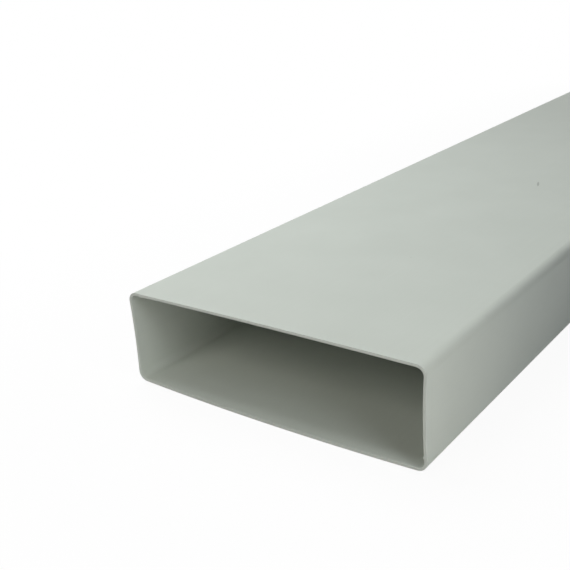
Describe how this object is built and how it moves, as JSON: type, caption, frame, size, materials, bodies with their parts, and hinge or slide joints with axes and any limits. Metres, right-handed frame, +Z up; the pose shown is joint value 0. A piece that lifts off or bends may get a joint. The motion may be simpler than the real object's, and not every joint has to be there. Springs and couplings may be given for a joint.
{
  "type": "flat rectangular duct section",
  "caption": "Straight length of flat rectangular ventilation duct: a thin-walled extruded tube with rounded corners, gently bowed walls and square-cut open ends.",
  "frame": {"origin": "on the floor under the middle of the duct, on the lowest line of its bowed bottom wall", "axes": "+X across the width, +Y along the length away from the end seen in the picture, +Z up out of the wide top wall"},
  "size_m": [0.204, 1, 0.0623],
  "materials": {
    "pvc": "satin"
  },
  "bodies": {
    "root": {"duct_section": "pvc"}
  },
  "joints": []
}
